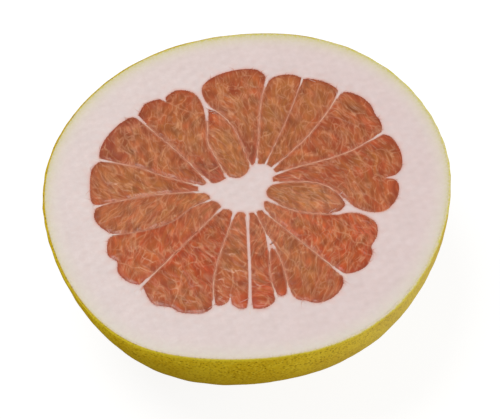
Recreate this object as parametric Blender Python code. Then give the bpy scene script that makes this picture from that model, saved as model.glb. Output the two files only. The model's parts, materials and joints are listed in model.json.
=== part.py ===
"""Half a pomelo, cut across its middle and lying on its rounded underside.

Metres, +Z up.  The origin is the centre of the small flat spot that the half
rests on, and +Z runs up the fruit's own axis to the level cut face.
"""

import math

import bmesh
import bpy
from mathutils import Vector

MM = 0.001

# ---------------------------------------------------------------- driving sizes
CUT_RADIUS = 80.2 * MM          # mean radius of the cut face, rind included
HEIGHT = 65.0 * MM              # from the resting spot up to the cut face
UNDERSIDE_DEPTH = 66.9 * MM     # depth the underside would have without its flat spot
POCKET_DEPTH = 0.8 * MM         # how far the pulp lies below the membranes and pith

# Waves in the outline seen from above: waves around, size (mm), direction (degrees)
OUTLINE_WAVES = ((3, 0.3, 100), (4, 0.7, 170), (5, 0.4, 55), (6, 0.35, -35))
# Slow swellings of the underside, written the same way: full a third of the way down,
# and gone at the cut face and at the resting spot
BELLY_WAVES = ((1, 0.9, 165), (2, 0.5, 20), (3, 0.8, 130), (4, 1.1, -90))
BELLY_SWELL = 0.3               # mm, the same all round
BELLY_SHARE = 2.6               # brings the swelling's largest share to 1

SPHERE_SEGMENTS = 88            # facets around the body
SPHERE_RINGS = 40               # facets from pole to pole of the whole sphere
CURVE_STEPS = 2                 # straight steps between two outline points
SEPTUM_FLARE = 0.6              # how much thicker a septum is where it meets pith or core

# ------------------------------------------------------------- pulp segments
# A point is (distance from the axis in mm, direction in degrees, anticlockwise from +X).
# A septum is the membrane between two segments: its thickness in mm, then its points
# from the core outwards.
SEPTA = {
    "1|2": (0.7, ((15.5, 22.6), (23, 19.4), (30, 17), (37, 15.8), (45, 16.0), (57, 18.2))),
    "2|3": (0.8, ((15.5, 37.0), (25, 38.3), (36, 39.8), (48, 42.5), (58, 44.8))),
    "3|4": (0.5, ((15.5, 52.2), (24, 55.9), (35, 58.1), (46, 59.9), (57.5, 61.4))),
    "4|5": (0.8, ((14.4, 67.0), (19, 70.5), (27, 73.5), (36, 75.7), (45, 76.4), (53.5, 75.6))),
    "5|6": (0.7, ((11.3, 74.5), (13.8, 80.5), (18, 86), (24.5, 90.2), (31.5, 94), (38.5, 99),
                  (43, 103.4))),
    "6|7": (0.9, ((10.2, 134), (14, 126.5), (20, 121), (28, 117), (34.5, 110.8), (41, 106.9))),
    "7|8": (0.9, ((16, 156.8), (22, 147), (28.5, 141), (38, 136.9), (47.5, 134.9),
                  (57, 133.2))),
    "8|9": (0.7, ((19.5, 166.1), (26, 163), (37, 159.5), (45, 157.5), (58.5, 157.6))),
    "9|10": (0.6, ((19.5, 175.9), (28, 175.8), (38, 176.3), (50, 178.2), (57.5, 179.5))),
    "10|11": (0.4, ((15.8, 193.6), (23, 195.4), (30, 200.4), (38, 200.2), (46, 198), (54.5, 195.3))),
    "11|12": (0.8, ((14.5, 218.4), (25, 220.4), (40, 221.6), (57.5, 222))),
    "12|13": (0.7, ((15, 243.8), (22, 245.6), (33, 246.4), (44, 248.2), (54.5, 251.4))),
    "13|14": (1.1, ((14.5, 266.7), (25, 266.5), (40, 266.5), (54.5, 266.0))),
    "14|16": (0.6, ((13, 281.7), (18.5, 283.2), (24.5, 283.7))),
    "14|15": (0.7, ((31, 281.2), (36, 279.0), (42.5, 276.9), (51.5, 276.9))),
    "15|16": (0.8, ((31, 285.0), (35.5, 285.5), (43, 284.5), (51.5, 282.7))),
    "16|17": (0.8, ((14.8, 297.6), (20.5, 299.8), (28, 302), (40, 303.9), (54, 304.9))),
    "17|18": (0.9, ((12.2, 320.5), (20, 321.8), (26, 325), (32.5, 329.4), (38, 333.0))),
    "18|1": (0.8, ((12, 365.2), (18, 362), (24, 359), (29.5, 355.6), (35, 349.0), (39.6, 342.4))),
}

# A segment lies anticlockwise of its right septa and clockwise of its left septa.
# "outer" closes it at the rind end, from right to left; "inner" at the core, left to right.
SEGMENTS = (
    {"right": ("18|1",), "left": ("1|2",),
     "outer": ((44, 339.4), (50, 338.2), (55.5, 340.2), (58.8, 346), (59.7, 352), (58, 355.7),
               (54.5, 356.7), (58.5, 357.9), (61.6, 361.5), (62.6, 368), (61.8, 374.5),
               (59.6, 377.7)),
     "inner": ((11.9, 380), (11.1, 373), (11.2, 367.5))},
    {"right": ("1|2",), "left": ("2|3",),
     "outer": ((60.2, 20.8), (61.6, 25), (61.6, 27.6), (63.1, 32), (63.2, 37), (61.6, 42.6)),
     "inner": ((14.2, 35.2), (13.8, 29.5), (14.3, 24.6))},
    {"right": ("2|3",), "left": ("3|4",),
     "outer": ((60.2, 47.2), (60.7, 52), (60.1, 57), (58.9, 60.2)),
     "inner": ((14.4, 50.2), (14.0, 44.5), (14.3, 39.3))},
    {"right": ("3|4",), "left": ("4|5",),
     "outer": ((59.0, 63.2), (59.2, 67), (57.2, 72)),
     "inner": ((13.3, 65.4), (12.9, 60), (14.0, 53.8))},
    {"right": ("4|5",), "left": ("5|6",),
     "outer": ((57, 76.8), (60.1, 81), (60.3, 89), (58.5, 97.5), (55, 103.1), (49, 104.5)),
     "inner": ((11.8, 70.5),)},
    {"right": ("5|6",), "left": ("6|7",),
     "outer": ((42.4, 105.1),),
     "inner": ((8.3, 129), (6.1, 109), (7.9, 82))},
    {"right": ("6|7",), "left": ("7|8",),
     "outer": ((47.5, 106.5), (54, 107.9), (58.2, 113), (57.5, 118.4), (55.6, 119.8),
               (58.6, 121.4), (60.3, 126.5), (58.6, 131.4)),
     "inner": ((14.2, 159.0), (12.6, 158.8), (10.8, 152), (9.7, 140))},
    {"right": ("7|8",), "left": ("8|9",),
     "outer": ((60.1, 135.2), (61.7, 140.5), (62.6, 149), (61.4, 155.9)),
     "inner": ((17.4, 166.0), (16.2, 163.0), (16.0, 159.6))},
    {"right": ("8|9",), "left": ("9|10",),
     "outer": ((61.4, 160.2), (62.3, 164), (61.4, 172), (60.4, 177.6)),
     "inner": ((18.9, 173.8), (18.9, 168.8))},
    {"right": ("9|10",), "left": ("10|11",),
     "outer": ((59.5, 181.8), (60.1, 185.5), (58.2, 190.3)),
     "inner": ((14.7, 191), (14.7, 185), (16.4, 178.6))},
    {"right": ("10|11",), "left": ("11|12",),
     "outer": ((58.0, 197.2), (60.6, 203), (59.2, 207.4), (61.6, 211.5), (61.7, 216.5),
               (60, 220.6)),
     "inner": ((13.0, 215.5), (12.6, 207.5), (13.6, 197.8))},
    {"right": ("11|12",), "left": ("12|13",),
     "outer": ((60, 224.2), (63.2, 230.5), (61.5, 236.9), (62.1, 241.5), (60, 248.5),
               (57, 251.2)),
     "inner": ((12.9, 240.6), (11.9, 232), (12.7, 222.8))},
    {"right": ("12|13",), "left": ("13|14",),
     "outer": ((55.4, 254.6), (53.5, 257.0), (51.2, 257.8), (54.6, 259.0), (56.5, 262.3)),
     "inner": ((12.9, 264.4), (11.4, 257), (11.9, 248.2))},
    {"right": ("13|14",), "left": ("14|16", "14|15"),
     "outer": ((56.9, 268.4), (56.8, 272.4), (54.6, 275.8)),
     "inner": ((12.1, 277.5), (12.2, 270.5))},
    {"right": ("14|15",), "left": ("15|16",),
     "outer": ((53.3, 279.7),),
     "inner": ((28.6, 283.7),)},
    {"right": ("14|16", "15|16"), "left": ("16|17",),
     "outer": ((56.2, 284.2), (58.6, 287.2), (61.6, 290.5), (62.5, 295.5), (61, 300.7),
               (58, 304.0)),
     "inner": ((12.6, 294), (12.0, 287))},
    {"right": ("16|17",), "left": ("17|18",),
     "outer": ((58.2, 307.8), (60.3, 313.5), (58.8, 319.7), (56.7, 322.4), (56.3, 328),
               (53.6, 333.4), (47.5, 336.1), (42, 335.2)),
     "inner": ((10.4, 316), (10.1, 308.5), (12.5, 300.5))},
    {"right": ("17|18",), "left": ("18|1",),
     "outer": ((39.4, 337.9),),
     "inner": ((9.3, 357), (8.2, 343), (9.4, 328))},
)


# ------------------------------------------------------------------- helpers
def waves(table, angle):
    """Sum of slow waves around the axis, in metres."""
    total = 0.0
    for count, size, direction in table:
        total += size * MM * math.cos(count * angle - math.radians(direction))
    return total


def polar(point):
    """A (distance in mm, direction in degrees) point as a flat vector in metres."""
    distance, direction = point
    angle = math.radians(direction)
    return Vector((math.cos(angle), math.sin(angle))) * distance * MM


def smooth_through(points, steps=CURVE_STEPS):
    """Points along a smooth curve through the given ones, from the second to the last but one."""
    curve = []
    for before, start, end, after in zip(points, points[1:], points[2:], points[3:]):
        for step in range(steps):
            t = step / steps
            curve.append(0.5 * (2 * start + (end - before) * t
                                + (2 * before - 5 * start + 4 * end - after) * t ** 2
                                + (3 * (start - end) + after - before) * t ** 3))
    curve.append(points[-2])
    return curve


def septum_side(name, side):
    """One face of a membrane, core to rind: side +1 is anticlockwise, -1 clockwise."""
    thickness, points = SEPTA[name]
    knots = [polar(point) for point in points]
    middle = smooth_through([2 * knots[0] - knots[1]] + knots + [2 * knots[-1] - knots[-2]])
    last = len(middle) - 1
    face = []
    for index, point in enumerate(middle):
        along = (middle[min(index + 1, last)] - middle[max(index - 1, 0)]).normalized()
        across = Vector((-along.y, along.x))
        flare = 1 + SEPTUM_FLARE * abs(2 * index / last - 1) ** 8
        face.append(point + across * side * flare * thickness * MM / 2)
    return face


def segment_outline(segment):
    """The closed outline of one pulp segment, anticlockwise from the core end."""
    right = [point for name in segment["right"] for point in septum_side(name, 1)]
    left = [point for name in segment["left"] for point in septum_side(name, -1)]
    outer = [polar(point) for point in segment["outer"]]
    inner = [polar(point) for point in segment["inner"]]
    rind_end = smooth_through(right[-2:] + outer + left[:-3:-1])
    core_end = smooth_through(left[1::-1] + inner + right[:2])
    return right[:-1] + rind_end[:-1] + left[:0:-1] + core_end[:-1]


def new_collection(name):
    collection = bpy.data.collections.new(name)
    bpy.context.scene.collection.children.link(collection)
    return collection


def rind_material():
    """Yellow-green waxy peel."""
    material = bpy.data.materials.new("pomelo_rind")
    material.use_nodes = True
    shader = material.node_tree.nodes["Principled BSDF"]
    shader.inputs["Base Color"].default_value = (0.34, 0.25, 0.02, 1.0)
    shader.inputs["Roughness"].default_value = 0.45
    shader.inputs["Metallic"].default_value = 0.0
    return material


# --------------------------------------------------------------------- model
def make_body(collection):
    """The outer body: a flattened sphere, made uneven, cut level and given its flat spot."""
    mesh = bpy.data.meshes.new("pomelo_half")
    shape = bmesh.new()
    bmesh.ops.create_uvsphere(shape, u_segments=SPHERE_SEGMENTS, v_segments=SPHERE_RINGS, radius=1.0)
    for vertex in shape.verts:
        angle = math.atan2(vertex.co.y, vertex.co.x)
        level = math.hypot(vertex.co.x, vertex.co.y)
        depth = -vertex.co.z
        swell = (BELLY_SWELL * MM + waves(BELLY_WAVES, angle)) * BELLY_SHARE * level * depth
        reach = (CUT_RADIUS + waves(OUTLINE_WAVES, angle) + swell) * level
        vertex.co.x = reach * math.cos(angle)
        vertex.co.y = reach * math.sin(angle)
        vertex.co.z = HEIGHT - UNDERSIDE_DEPTH * depth
    trim(shape, HEIGHT, (0, 0, 1))
    trim(shape, 0.0, (0, 0, -1))
    shape.to_mesh(mesh)
    shape.free()
    body = bpy.data.objects.new("pomelo_half", mesh)
    collection.objects.link(body)
    return body


def trim(shape, height, away):
    """Cut the shape level at a height, drop what lies on the far side and close the cut."""
    everything = shape.verts[:] + shape.edges[:] + shape.faces[:]
    cut = bmesh.ops.bisect_plane(
        shape, geom=everything, plane_co=(0, 0, height), plane_no=away, clear_outer=True)
    rim = [item for item in cut["geom_cut"] if isinstance(item, bmesh.types.BMEdge)]
    bmesh.ops.contextual_create(shape, geom=rim)
    bmesh.ops.recalc_face_normals(shape, faces=shape.faces[:])


def make_pocket(segment, collection):
    """A shallow block in the shape of one pulp segment, standing through the cut face."""
    curve = bpy.data.curves.new("pulp_outline", "CURVE")
    curve.dimensions = "2D"
    curve.fill_mode = "BOTH"
    curve.extrude = POCKET_DEPTH
    outline = segment_outline(segment)
    spline = curve.splines.new("POLY")
    spline.points.add(len(outline) - 1)
    spline.use_cyclic_u = True
    for knot, point in zip(spline.points, outline):
        knot.co = (point.x, point.y, 0.0, 1.0)
    pattern = bpy.data.objects.new("pulp_outline", curve)
    pattern.location.z = HEIGHT
    collection.objects.link(pattern)
    return pattern


def make_pocket_cutter(collection):
    """All the pulp pockets in one mesh, made from their outlines."""
    patterns = [make_pocket(segment, collection) for segment in SEGMENTS]
    depsgraph = bpy.context.evaluated_depsgraph_get()
    shape = bmesh.new()
    for pattern in patterns:
        block = bpy.data.meshes.new_from_object(pattern.evaluated_get(depsgraph))
        block.transform(pattern.matrix_world)
        shape.from_mesh(block)
        bpy.data.meshes.remove(block)
    bmesh.ops.remove_doubles(shape, verts=shape.verts[:], dist=0.001 * MM)
    bmesh.ops.recalc_face_normals(shape, faces=shape.faces[:])
    mesh = bpy.data.meshes.new("pulp_pockets")
    shape.to_mesh(mesh)
    shape.free()
    for pattern in patterns:
        bpy.data.curves.remove(pattern.data)
    cutter = bpy.data.objects.new("pulp_pockets", mesh)
    collection.objects.link(cutter)
    cutter.hide_render = True
    cutter.display_type = "WIRE"
    return cutter


def main():
    for leftover in list(bpy.data.objects):
        bpy.data.objects.remove(leftover)
    fruit = new_collection("pomelo")
    cutters = new_collection("cutters")
    body = make_body(fruit)
    cut = body.modifiers.new("pulp_pockets", "BOOLEAN")
    cut.operation = "DIFFERENCE"
    cut.solver = "EXACT"
    cut.object = make_pocket_cutter(cutters)
    body.data.materials.append(rind_material())
    body.data.shade_smooth()
    body.data.set_sharp_from_angle(angle=math.radians(30))


main()
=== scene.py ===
# %% [markdown]
# # Half a pomelo, cut face up
# The half lies on a small flat spot of its rounded underside, and its level cut face
# shows eighteen juicy segments in a thick ring of white pith under a thin yellow rind.
# The script builds it from the outside in: rind, pith, pulp, then the fine membranes.

# %% Set up
import json
import math
import bmesh
import bpy
import numpy as np
from mathutils import Matrix

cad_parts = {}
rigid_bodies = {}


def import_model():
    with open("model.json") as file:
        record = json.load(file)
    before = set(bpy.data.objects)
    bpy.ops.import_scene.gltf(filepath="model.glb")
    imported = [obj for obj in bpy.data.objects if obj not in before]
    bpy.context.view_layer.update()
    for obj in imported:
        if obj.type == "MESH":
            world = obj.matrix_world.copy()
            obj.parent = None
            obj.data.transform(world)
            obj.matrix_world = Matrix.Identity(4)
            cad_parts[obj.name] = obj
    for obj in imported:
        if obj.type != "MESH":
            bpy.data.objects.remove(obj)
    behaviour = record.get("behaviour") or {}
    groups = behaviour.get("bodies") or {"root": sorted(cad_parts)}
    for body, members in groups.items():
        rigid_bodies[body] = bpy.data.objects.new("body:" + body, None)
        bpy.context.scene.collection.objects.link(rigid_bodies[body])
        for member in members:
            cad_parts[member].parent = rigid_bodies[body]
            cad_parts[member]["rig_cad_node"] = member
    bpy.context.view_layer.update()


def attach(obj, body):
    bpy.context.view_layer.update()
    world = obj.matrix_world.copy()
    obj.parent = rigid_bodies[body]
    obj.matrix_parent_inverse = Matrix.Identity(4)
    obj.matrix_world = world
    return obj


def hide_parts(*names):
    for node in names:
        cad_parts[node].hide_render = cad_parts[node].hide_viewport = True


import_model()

bpy.ops.object.select_all(action="DESELECT")
MM = 0.001

# %% [markdown]
# ## The camera
# It looks down on the cut face from about a metre, the distance at which a person
# would stand over it, and is turned a little about its own line of sight, so the
# fruit seems to lean left. A long lens keeps the ellipse of the cut face even.

# %% Camera
ELEVATION = math.radians(53.367)
ROLL = math.radians(-7.057)
DISTANCE = 0.98697
AIM = np.array((0.00057, -0.01042, 0.065))
LENS = 183.377

back = np.array((0, -math.cos(ELEVATION), math.sin(ELEVATION)))
level_right = np.array((1.0, 0, 0))
level_up = np.cross(back, level_right)
right = math.cos(ROLL) * level_right + math.sin(ROLL) * level_up
up = -math.sin(ROLL) * level_right + math.cos(ROLL) * level_up

bpy.ops.object.camera_add()
camera = bpy.context.object
camera.name = "camera"
camera.matrix_world = Matrix.Translation(AIM + DISTANCE * back) @ Matrix(
    np.stack((right, up, back), axis=1).tolist()).to_4x4()
camera.data.sensor_width = 36
camera.data.lens = LENS
camera.data.clip_start = 0.05
bpy.context.scene.camera = camera

# %% [markdown]
# ## Light and floor
# Food on a white sweep is lit from all round, so the shadows almost vanish. A white
# surrounding does most of the work, and one broad lamp high on the left gives the
# wet pulp its small glints. The rind's darkening towards the floor is painted shade
# on the peel.

# %% Light and floor
bpy.ops.mesh.primitive_plane_add(size=6)
floor = bpy.context.object
floor.name = "floor"
paper = bpy.data.materials.new("white_paper")
paper.use_nodes = True
paper_shader = paper.node_tree.nodes["Principled BSDF"]
paper_shader.inputs["Base Color"].default_value = (0.2, 0.2, 0.2, 1)
paper_shader.inputs["Roughness"].default_value = 0.9
paper_shader.inputs["Specular IOR Level"].default_value = 0.0
paper_shader.inputs["Emission Color"].default_value = (1, 1, 1, 1)
paper_shader.inputs["Emission Strength"].default_value = 0.875
floor.data.materials.append(paper)

world = bpy.data.worlds.new("white_room")
bpy.context.scene.world = world
world.use_nodes = True
world.node_tree.nodes["Background"].inputs["Color"].default_value = (1, 1, 1, 1)
world.node_tree.nodes["Background"].inputs["Strength"].default_value = 0.34


def softbox(name, place, size, power):
    """A round white lamp that looks at the fruit."""
    bpy.ops.object.light_add(type="AREA", location=place)
    lamp = bpy.context.object
    lamp.name = name
    lamp.data.shape = "DISK"
    lamp.data.size = size
    lamp.data.energy = power
    lamp.rotation_euler = (-lamp.location).to_track_quat("-Z", "Y").to_euler()


softbox("softbox_above", (-0.3, 0.15, 1.3), 0.8, 10.2)
softbox("softbox_right", (1.0, -0.35, 0.45), 0.5, 4.2)
bpy.context.scene.view_settings.view_transform = "Standard"

# %% [markdown]
# ## The layout of the cut face
# A pomelo's segments are wedges of pulp, each in its own thin skin. Where two skins
# lie together they make one membrane, a septum, from the core to the pith. A point
# is (distance from the axis in mm, direction in degrees, anticlockwise from +X). A
# septum is its thickness in mm, then its points from the core outwards.

# %% Septa
SEPTA = {
    "1|2": (0.7, ((15.5, 22.6), (23, 19.4), (30, 17), (37, 15.8), (45, 16.0), (57, 18.2))),
    "2|3": (0.8, ((15.5, 37.0), (25, 38.3), (36, 39.8), (48, 42.5), (58, 44.8))),
    "3|4": (0.5, ((15.5, 52.2), (24, 55.9), (35, 58.1), (46, 59.9), (57.5, 61.4))),
    "4|5": (0.8, ((14.4, 67.0), (19, 70.5), (27, 73.5), (36, 75.7), (45, 76.4), (53.5, 75.6))),
    "5|6": (0.7, ((11.3, 74.5), (13.8, 80.5), (18, 86), (24.5, 90.2), (31.5, 94), (38.5, 99),
                  (43, 103.4))),
    "6|7": (0.9, ((10.2, 134), (14, 126.5), (20, 121), (28, 117), (34.5, 110.8), (41, 106.9))),
    "7|8": (0.9, ((16, 156.8), (22, 147), (28.5, 141), (38, 136.9), (47.5, 134.9),
                  (57, 133.2))),
    "8|9": (0.7, ((19.5, 166.1), (26, 163), (37, 159.5), (45, 157.5), (58.5, 157.6))),
    "9|10": (0.6, ((19.5, 175.9), (28, 175.8), (38, 176.3), (50, 178.2), (57.5, 179.5))),
    "10|11": (0.4, ((15.8, 193.6), (23, 195.4), (30, 200.4), (38, 200.2), (46, 198), (54.5, 195.3))),
    "11|12": (0.8, ((14.5, 218.4), (25, 220.4), (40, 221.6), (57.5, 222))),
    "12|13": (0.7, ((15, 243.8), (22, 245.6), (33, 246.4), (44, 248.2), (54.5, 251.4))),
    "13|14": (1.1, ((14.5, 266.7), (25, 266.5), (40, 266.5), (54.5, 266.0))),
    "14|16": (0.6, ((13, 281.7), (18.5, 283.2), (24.5, 283.7))),
    "14|15": (0.7, ((31, 281.2), (36, 279.0), (42.5, 276.9), (51.5, 276.9))),
    "15|16": (0.8, ((31, 285.0), (35.5, 285.5), (43, 284.5), (51.5, 282.7))),
    "16|17": (0.8, ((14.8, 297.6), (20.5, 299.8), (28, 302), (40, 303.9), (54, 304.9))),
    "17|18": (0.9, ((12.2, 320.5), (20, 321.8), (26, 325), (32.5, 329.4), (38, 333.0))),
    "18|1": (0.8, ((12, 365.2), (18, 362), (24, 359), (29.5, 355.6), (35, 349.0), (39.6, 342.4))),
}

# %% [markdown]
# ## The ends of the segments
# A segment lies anticlockwise of its right septa and clockwise of its left septa. Its
# outer points close it under the rind, from right to left, with a lobe or two. Its
# inner points close it at the core. Smooth curves join them, so a few points are enough.

# %% Segment ends
SEGMENTS = (
    {"right": ("18|1",), "left": ("1|2",),
     "outer": ((44, 339.4), (50, 338.2), (55.5, 340.2), (58.8, 346), (59.7, 352), (58, 355.7),
               (54.5, 356.7), (58.5, 357.9), (61.6, 361.5), (62.6, 368), (61.8, 374.5),
               (59.6, 377.7)),
     "inner": ((11.9, 380), (11.1, 373), (11.2, 367.5))},
    {"right": ("1|2",), "left": ("2|3",),
     "outer": ((60.2, 20.8), (61.6, 25), (61.6, 27.6), (63.1, 32), (63.2, 37), (61.6, 42.6)),
     "inner": ((14.2, 35.2), (13.8, 29.5), (14.3, 24.6))},
    {"right": ("2|3",), "left": ("3|4",),
     "outer": ((60.2, 47.2), (60.7, 52), (60.1, 57), (58.9, 60.2)),
     "inner": ((14.4, 50.2), (14.0, 44.5), (14.3, 39.3))},
    {"right": ("3|4",), "left": ("4|5",),
     "outer": ((59.0, 63.2), (59.2, 67), (57.2, 72)),
     "inner": ((13.3, 65.4), (12.9, 60), (14.0, 53.8))},
    {"right": ("4|5",), "left": ("5|6",),
     "outer": ((57, 76.8), (60.1, 81), (60.3, 89), (58.5, 97.5), (55, 103.1), (49, 104.5)),
     "inner": ((11.8, 70.5),)},
    {"right": ("5|6",), "left": ("6|7",),
     "outer": ((42.4, 105.1),),
     "inner": ((8.3, 129), (6.1, 109), (7.9, 82))},
    {"right": ("6|7",), "left": ("7|8",),
     "outer": ((47.5, 106.5), (54, 107.9), (58.2, 113), (57.5, 118.4), (55.6, 119.8),
               (58.6, 121.4), (60.3, 126.5), (58.6, 131.4)),
     "inner": ((14.2, 159.0), (12.6, 158.8), (10.8, 152), (9.7, 140))},
    {"right": ("7|8",), "left": ("8|9",),
     "outer": ((60.1, 135.2), (61.7, 140.5), (62.6, 149), (61.4, 155.9)),
     "inner": ((17.4, 166.0), (16.2, 163.0), (16.0, 159.6))},
    {"right": ("8|9",), "left": ("9|10",),
     "outer": ((61.4, 160.2), (62.3, 164), (61.4, 172), (60.4, 177.6)),
     "inner": ((18.9, 173.8), (18.9, 168.8))},
    {"right": ("9|10",), "left": ("10|11",),
     "outer": ((59.5, 181.8), (60.1, 185.5), (58.2, 190.3)),
     "inner": ((14.7, 191), (14.7, 185), (16.4, 178.6))},
    {"right": ("10|11",), "left": ("11|12",),
     "outer": ((58.0, 197.2), (60.6, 203), (59.2, 207.4), (61.6, 211.5), (61.7, 216.5),
               (60, 220.6)),
     "inner": ((13.0, 215.5), (12.6, 207.5), (13.6, 197.8))},
    {"right": ("11|12",), "left": ("12|13",),
     "outer": ((60, 224.2), (63.2, 230.5), (61.5, 236.9), (62.1, 241.5), (60, 248.5),
               (57, 251.2)),
     "inner": ((12.9, 240.6), (11.9, 232), (12.7, 222.8))},
    {"right": ("12|13",), "left": ("13|14",),
     "outer": ((55.4, 254.6), (53.5, 257.0), (51.2, 257.8), (54.6, 259.0), (56.5, 262.3)),
     "inner": ((12.9, 264.4), (11.4, 257), (11.9, 248.2))},
    {"right": ("13|14",), "left": ("14|16", "14|15"),
     "outer": ((56.9, 268.4), (56.8, 272.4), (54.6, 275.8)),
     "inner": ((12.1, 277.5), (12.2, 270.5))},
    {"right": ("14|15",), "left": ("15|16",),
     "outer": ((53.3, 279.7),),
     "inner": ((28.6, 283.7),)},
    {"right": ("14|16", "15|16"), "left": ("16|17",),
     "outer": ((56.2, 284.2), (58.6, 287.2), (61.6, 290.5), (62.5, 295.5), (61, 300.7),
               (58, 304.0)),
     "inner": ((12.6, 294), (12.0, 287))},
    {"right": ("16|17",), "left": ("17|18",),
     "outer": ((58.2, 307.8), (60.3, 313.5), (58.8, 319.7), (56.7, 322.4), (56.3, 328),
               (53.6, 333.4), (47.5, 336.1), (42, 335.2)),
     "inner": ((10.4, 316), (10.1, 308.5), (12.5, 300.5))},
    {"right": ("17|18",), "left": ("18|1",),
     "outer": ((39.4, 337.9),),
     "inner": ((9.3, 357), (8.2, 343), (9.4, 328))},
)

# %% [markdown]
# ## From the tables to smooth outlines
# Each septum is drawn as a smooth line through its points, and its two faces lie half
# a thickness to each side, spreading where it grows into pith or core. A segment runs
# up its right membrane, round under the rind, and back down its left one.

# %% Outlines
CUT_RADIUS = 80.2
HEIGHT = 65.0
UNDERSIDE_DEPTH = 66.9
OUTLINE_WAVES = ((3, 0.3, 100), (4, 0.7, 170), (5, 0.4, 55), (6, 0.35, -35))
BELLY_WAVES = ((1, 0.9, 165), (2, 0.5, 20), (3, 0.8, 130), (4, 1.1, -90))
BELLY_SWELL = 0.3
BELLY_SHARE = 2.6
CURVE_STEPS = 6
SEPTUM_FLARE = 0.6


def waves(table, angle):
    """Sum of slow waves around the axis, in mm."""
    return sum(size * np.cos(count * angle - math.radians(direction))
               for count, size, direction in table)


def polar(points):
    """Points given by distance and direction, as flat x, y positions in mm."""
    distance, direction = np.array(points, float).T
    angle = np.radians(direction)
    return np.stack((distance * np.cos(angle), distance * np.sin(angle)), axis=1)


def smooth_through(points, steps=CURVE_STEPS):
    """A smooth curve through the points, from the second to the last but one."""
    curve = []
    for before, start, end, after in zip(points, points[1:], points[2:], points[3:]):
        for t in np.arange(steps) / steps:
            curve.append(0.5 * (2 * start + (end - before) * t
                                + (2 * before - 5 * start + 4 * end - after) * t ** 2
                                + (3 * (start - end) + after - before) * t ** 3))
    return np.array(curve + [points[-2]])


def smooth_line(points):
    """A smooth curve through all of these (distance, direction) points."""
    knots = polar(points)
    return smooth_through(np.vstack((2 * knots[0] - knots[1], knots, 2 * knots[-1] - knots[-2])))


def septum_line(name):
    """Middle line of a septum from core to rind, its sideways directions and widths."""
    thickness, points = SEPTA[name]
    line = smooth_line(points)
    along = np.gradient(line, axis=0)
    along /= np.linalg.norm(along, axis=1)[:, None]
    share = np.linspace(-1, 1, len(line))
    width = thickness * (1 + SEPTUM_FLARE * share ** 8)
    return line, np.stack((-along[:, 1], along[:, 0]), axis=1), width


def septum_side(name, side):
    """One face of a septum, core to rind: side +1 is anticlockwise, -1 clockwise."""
    line, across, width = septum_line(name)
    return line + across * side * width[:, None] / 2


def segment_outline(segment):
    """The closed outline of one pulp segment, anticlockwise from the core end."""
    sides = np.vstack([septum_side(name, 1) for name in segment["right"]])
    back_side = np.vstack([septum_side(name, -1) for name in segment["left"]])
    step = CURVE_STEPS
    rind_end = smooth_through(np.vstack((sides[-1 - step], sides[-1], polar(segment["outer"]),
                                         back_side[-1], back_side[-1 - step])))
    core_end = smooth_through(np.vstack((back_side[step], back_side[0], polar(segment["inner"]),
                                         sides[0], sides[step])))
    return np.vstack((sides[:-1], rind_end[:-1], back_side[:0:-1], core_end[:-1]))


OUTLINES = [segment_outline(segment) for segment in SEGMENTS]
print("segments:", len(OUTLINES), "points per outline:", [len(o) for o in OUTLINES])

# %% [markdown]
# ## Small tools
# Distances to the outlines say where pulp ends and pith begins, and soft random ripples
# give the unevenness of anything grown. Work is in mm and goes to metres at the end.

# %% Measuring and random relief
def line_distance(points, line, closed=True):
    """Distance from each point to a line, and the nearest place on the line."""
    starts = line if closed else line[:-1]
    ends = np.roll(line, -1, axis=0) if closed else line[1:]
    best = np.full(len(points), 1e9)
    nearest = np.zeros_like(points)
    for start, end in zip(starts, ends):
        edge = end - start
        share = np.clip((points - start) @ edge / max(edge @ edge, 1e-12), 0, 1)
        foot = start + share[:, None] * edge
        gap = np.hypot(*(points - foot).T)
        closer = gap < best
        best[closer] = gap[closer]
        nearest[closer] = foot[closer]
    return best, nearest


def is_inside(points, line):
    """Which points lie inside a closed line."""
    x, y = points.T
    inside = np.zeros(len(points), bool)
    for (x0, y0), (x1, y1) in zip(line, np.roll(line, -1, axis=0)):
        if y0 != y1:
            inside ^= ((y0 > y) != (y1 > y)) & (x < (x1 - x0) * (y - y0) / (y1 - y0) + x0)
    return inside


def ripple(points, wavelength, seed, count=14):
    """Soft random relief of unit size, made of plane waves in random directions."""
    rng = np.random.default_rng(seed)
    size = points.shape[1]
    total = np.zeros(len(points))
    for _ in range(count):
        direction = rng.normal(size=size)
        direction /= np.linalg.norm(direction)
        step = wavelength * rng.uniform(0.7, 1.5)
        total += np.cos(2 * math.pi * (points @ direction) / step + rng.uniform(0, 2 * math.pi))
    return total * math.sqrt(2 / count)


def smooth_step(value, low, high):
    """0 up to low, 1 from high on, and a soft rise between them."""
    share = np.clip((value - low) / (high - low), 0, 1)
    return share * share * (3 - 2 * share)


def linear(colour):
    """A colour as it looks on a screen, 0 to 255, as light amounts 0 to 1."""
    value = np.asarray(colour, float) / 255
    return np.where(value <= 0.04045, value / 12.92, ((value + 0.055) / 1.055) ** 2.4)


def blend(first, second, share):
    """The first colour, with this share of the second, a screen colour, laid over it."""
    return first * (1 - share) + linear(second) * share


# %% [markdown]
# ## Slabs with an exact edge
# A knife leaves flat faces, so pith and pulp start as fine flat grids. Faces outside the
# wanted outline are deleted, the sheet's border is drawn straight down, and the bottom
# is filled. A grid keeps even faces everywhere, which a filled outline wouldn't.

# %% Grids
def flat_grid(name, low, high, cell):
    """A flat grid over a rectangle, given in mm, and its points."""
    counts = [int(math.ceil((high[i] - low[i]) / cell)) for i in (0, 1)]
    middle = [(low[i] + high[i]) / 2 * MM for i in (0, 1)]
    bpy.ops.mesh.primitive_grid_add(x_subdivisions=counts[0], y_subdivisions=counts[1], size=2)
    piece = bpy.context.object
    piece.name = name
    piece.scale = (counts[0] * cell * MM / 2, counts[1] * cell * MM / 2, 1)
    piece.location = (middle[0], middle[1], 0)
    bpy.ops.object.transform_apply(location=True, rotation=False, scale=True)
    return piece, positions(piece)[:, :2]


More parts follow.
